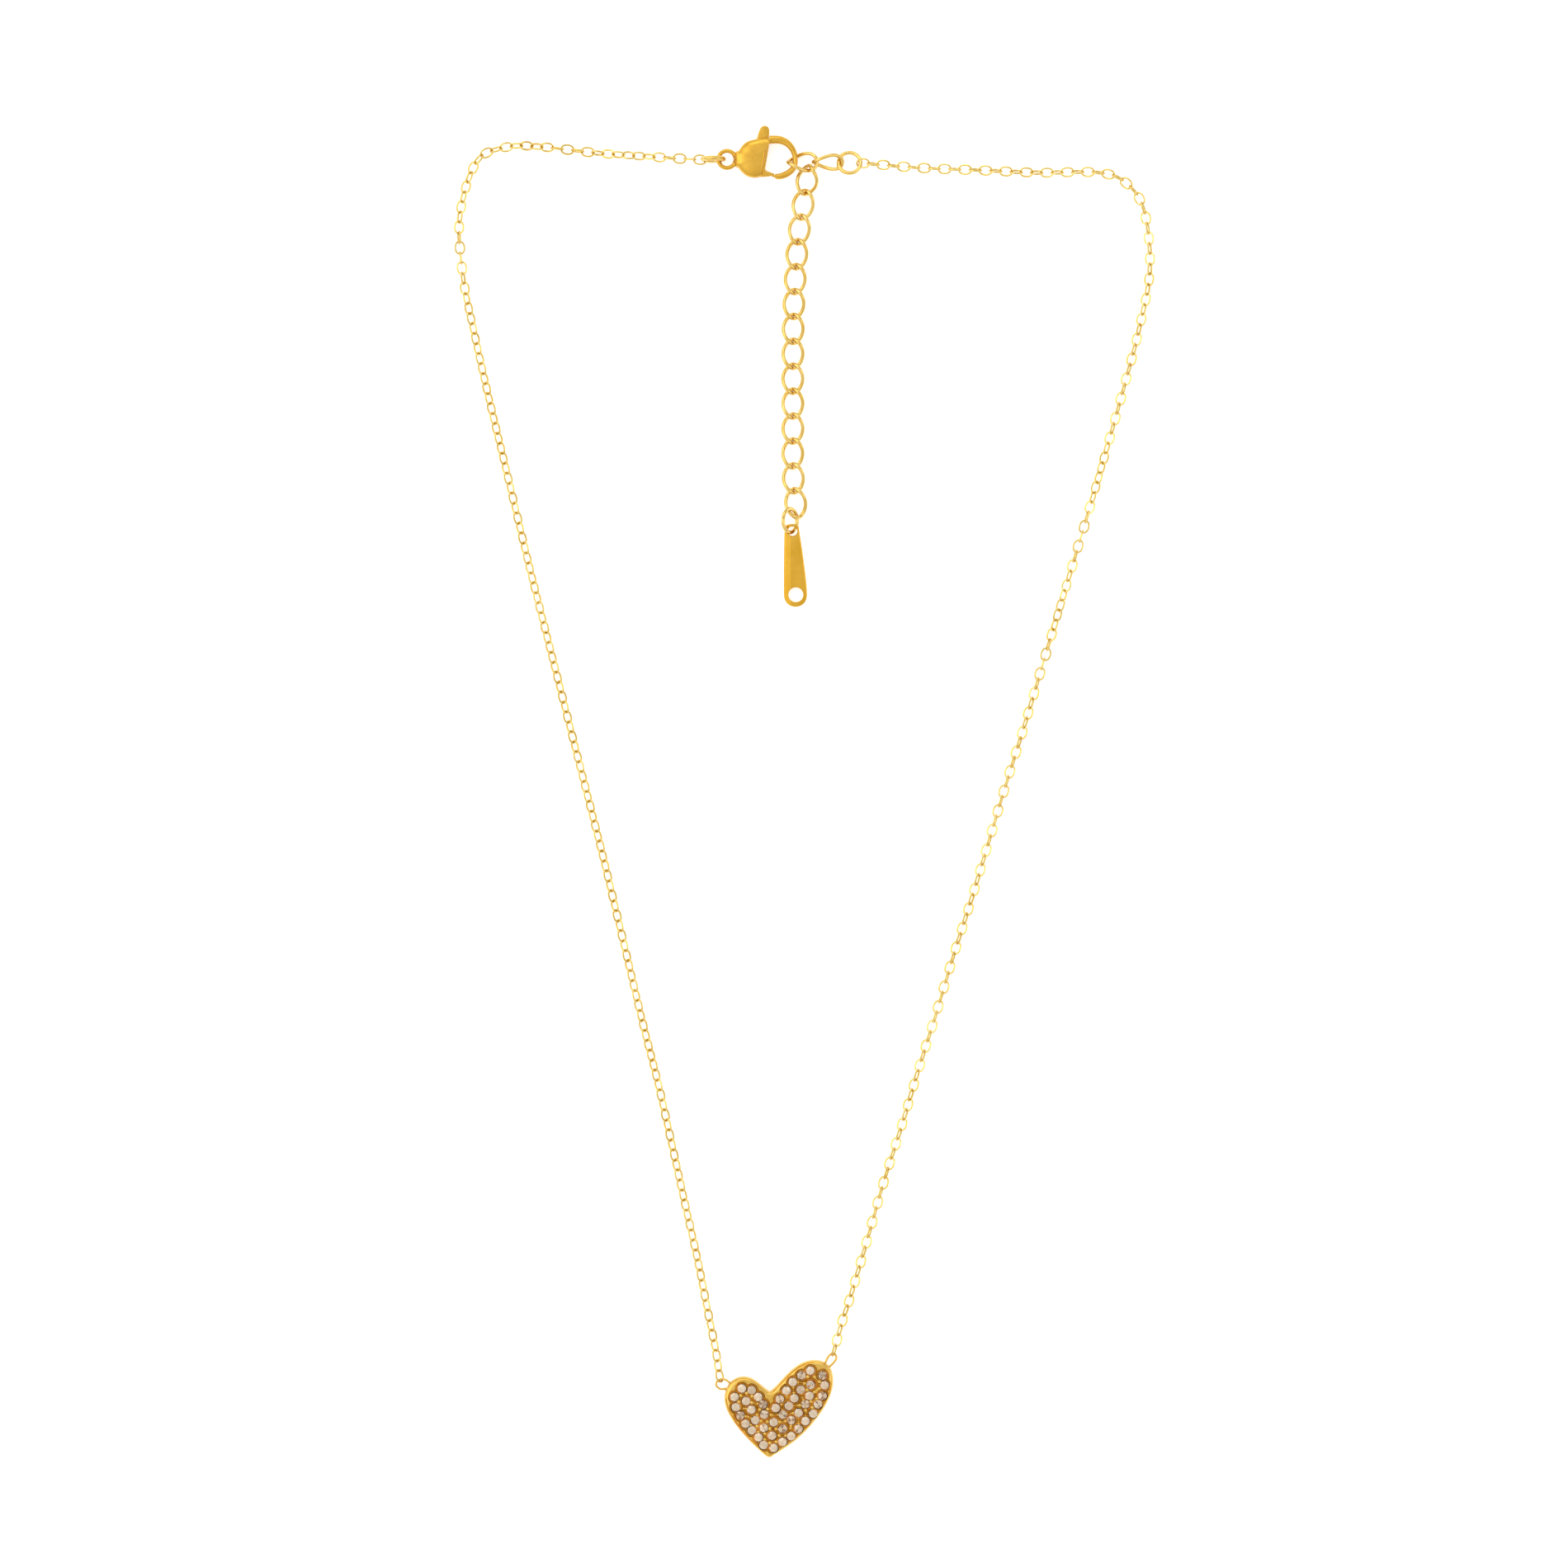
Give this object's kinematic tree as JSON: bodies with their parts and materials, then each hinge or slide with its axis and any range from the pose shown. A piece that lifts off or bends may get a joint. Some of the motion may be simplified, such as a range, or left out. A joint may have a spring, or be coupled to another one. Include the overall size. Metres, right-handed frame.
{
  "type": "pendant necklace",
  "caption": "Fine gold-tone cable-chain necklace with a stone-set heart pendant, a lobster clasp and a curb-link extender ending in a small tag.",
  "frame": {"origin": "middle of the heart pendant's flat back face, on the surface that the necklace lies on", "axes": "+X to the wearer's left as the necklace is seen from the front, +Y from the pendant up to the clasp, +Z out of the front of the pendant"},
  "size_m": [0.0855, 0.1635, 0.0032],
  "materials": {
    "heart_gold": "polished gold plate",
    "stone_crystal": "faceted clear stone over a gold seat",
    "chain_gold": "polished gold plate",
    "clasp_gold": "tumbled gold plate",
    "clasp_steel": "spring steel",
    "ring_gold": "polished gold plate",
    "extender_gold": "polished gold plate",
    "tag_gold": "polished gold plate"
  },
  "bodies": {
    "chain": {"chain_left": "chain_gold", "chain_right": "chain_gold", "extender_link_a": "extender_gold"},
    "pendant": {"heart_base": "heart_gold", "heart_loop_left": "heart_gold", "heart_loop_right": "heart_gold", "stone_row_left_edge": "stone_crystal", "stone_row_left_lobe": "stone_crystal", "stone_row_left_inner": "stone_crystal", "stone_row_right_edge": "stone_crystal", "stone_row_right_lobe": "stone_crystal", "stone_row_middle_upper": "stone_crystal", "stone_row_middle_lower": "stone_crystal"},
    "clasp_ring": {"clasp_ring": "ring_gold"},
    "clasp": {"clasp_body": "clasp_gold", "clasp_pivot_pin": "clasp_steel", "clasp_spring": "clasp_steel"},
    "lever": {"clasp_lever": "clasp_gold"},
    "extender_ring": {"extender_ring": "ring_gold"},
    "link_b": {"extender_link_b": "extender_gold"},
    "link_01": {"extender_link_01": "extender_gold"},
    "link_02": {"extender_link_02": "extender_gold"},
    "link_03": {"extender_link_03": "extender_gold"},
    "link_04": {"extender_link_04": "extender_gold"},
    "link_05": {"extender_link_05": "extender_gold"},
    "link_06": {"extender_link_06": "extender_gold"},
    "link_07": {"extender_link_07": "extender_gold"},
    "link_08": {"extender_link_08": "extender_gold"},
    "link_09": {"extender_link_09": "extender_gold"},
    "link_10": {"extender_link_10": "extender_gold"},
    "link_11": {"extender_link_11": "extender_gold"},
    "link_12": {"extender_link_12": "extender_gold"},
    "link_13": {"extender_link_13": "extender_gold"},
    "link_14": {"extender_link_14": "extender_gold"},
    "tag_ring": {"tag_ring": "ring_gold"},
    "tag": {"end_tag": "tag_gold"}
  },
  "joints": [
    {"name": "pendant_flip", "type": "hinge", "parent": "chain", "child": "pendant", "pos_m": [-0.00705, 0.003, 0.00095], "axis": [-0.975, -0.2221, 0], "range_deg": [0, 120]},
    {"name": "clasp_ring_turn", "type": "hinge", "parent": "chain", "child": "clasp_ring", "pos_m": [-0.00813, 0.1534, 0.00158], "axis": [0, 1, 0], "continuous": true},
    {"name": "clasp_roll", "type": "hinge", "parent": "chain", "child": "clasp", "pos_m": [-0.00644, 0.1534, 0.00115], "axis": [1, 0, 0], "range_deg": [-5, 15]},
    {"name": "lever_open", "type": "hinge", "parent": "clasp", "child": "lever", "pos_m": [-0.00239, 0.15495, 0.00115], "axis": [0, 0, 1], "range_deg": [0, 22], "stiffness_Nm_per_rad": 0.005, "springref_deg": -11.46},
    {"name": "extender_ring_turn", "type": "hinge", "parent": "chain", "child": "extender_ring", "pos_m": [0.00855, 0.15295, 0.0013], "axis": [0, 0.5, 0.866], "continuous": true},
    {"name": "link_b_roll", "type": "hinge", "parent": "chain", "child": "link_b", "pos_m": [0.00593, 0.15305, 0.00127], "axis": [1, 0, 0], "range_deg": [-5, 5]},
    {"name": "link_01_swing", "type": "hinge", "parent": "chain", "child": "link_01", "pos_m": [0.00372, 0.15239, 0.00115], "axis": [0, 0, 1], "range_deg": [-4, 8]},
    {"name": "link_02_swing", "type": "hinge", "parent": "link_01", "child": "link_02", "pos_m": [0.00316, 0.14939, 0.0008], "axis": [0, 0, 1], "range_deg": [-4, 8]},
    {"name": "link_03_swing", "type": "hinge", "parent": "link_02", "child": "link_03", "pos_m": [0.00265, 0.14638, 0.0008], "axis": [0, 0, 1], "range_deg": [-4, 8]},
    {"name": "link_04_swing", "type": "hinge", "parent": "link_03", "child": "link_04", "pos_m": [0.00225, 0.14336, 0.0008], "axis": [0, 0, 1], "range_deg": [-4, 8]},
    {"name": "link_05_swing", "type": "hinge", "parent": "link_04", "child": "link_05", "pos_m": [0.00202, 0.14031, 0.0008], "axis": [0, 0, 1], "range_deg": [-4, 8]},
    {"name": "link_06_swing", "type": "hinge", "parent": "link_05", "child": "link_06", "pos_m": [0.00184, 0.13727, 0.0008], "axis": [0, 0, 1], "range_deg": [-4, 8]},
    {"name": "link_07_swing", "type": "hinge", "parent": "link_06", "child": "link_07", "pos_m": [0.00171, 0.13422, 0.0008], "axis": [0, 0, 1], "range_deg": [-4, 8]},
    {"name": "link_08_swing", "type": "hinge", "parent": "link_07", "child": "link_08", "pos_m": [0.00167, 0.13117, 0.0008], "axis": [0, 0, 1], "range_deg": [-4, 8]},
    {"name": "link_09_swing", "type": "hinge", "parent": "link_08", "child": "link_09", "pos_m": [0.00165, 0.12812, 0.0008], "axis": [0, 0, 1], "range_deg": [-4, 8]},
    {"name": "link_10_swing", "type": "hinge", "parent": "link_09", "child": "link_10", "pos_m": [0.00164, 0.12507, 0.0008], "axis": [0, 0, 1], "range_deg": [-4, 8]},
    {"name": "link_11_swing", "type": "hinge", "parent": "link_10", "child": "link_11", "pos_m": [0.00165, 0.12202, 0.0008], "axis": [0, 0, 1], "range_deg": [-4, 8]},
    {"name": "link_12_swing", "type": "hinge", "parent": "link_11", "child": "link_12", "pos_m": [0.00163, 0.11897, 0.0008], "axis": [0, 0, 1], "range_deg": [-4, 8]},
    {"name": "link_13_swing", "type": "hinge", "parent": "link_12", "child": "link_13", "pos_m": [0.00163, 0.11592, 0.0008], "axis": [0, 0, 1], "range_deg": [-4, 8]},
    {"name": "link_14_swing", "type": "hinge", "parent": "link_13", "child": "link_14", "pos_m": [0.00177, 0.11287, 0.0008], "axis": [0, 0, 1], "range_deg": [-4, 8]},
    {"name": "tag_ring_swing", "type": "hinge", "parent": "link_14", "child": "tag_ring", "pos_m": [0.0015, 0.11, 0.0011], "axis": [0, 0, 1], "range_deg": [-8, 6]},
    {"name": "tag_swing", "type": "hinge", "parent": "tag_ring", "child": "tag", "pos_m": [0.0014, 0.1083, 0.0012], "axis": [0, 0, 1], "range_deg": [-8, 8]}
  ]
}
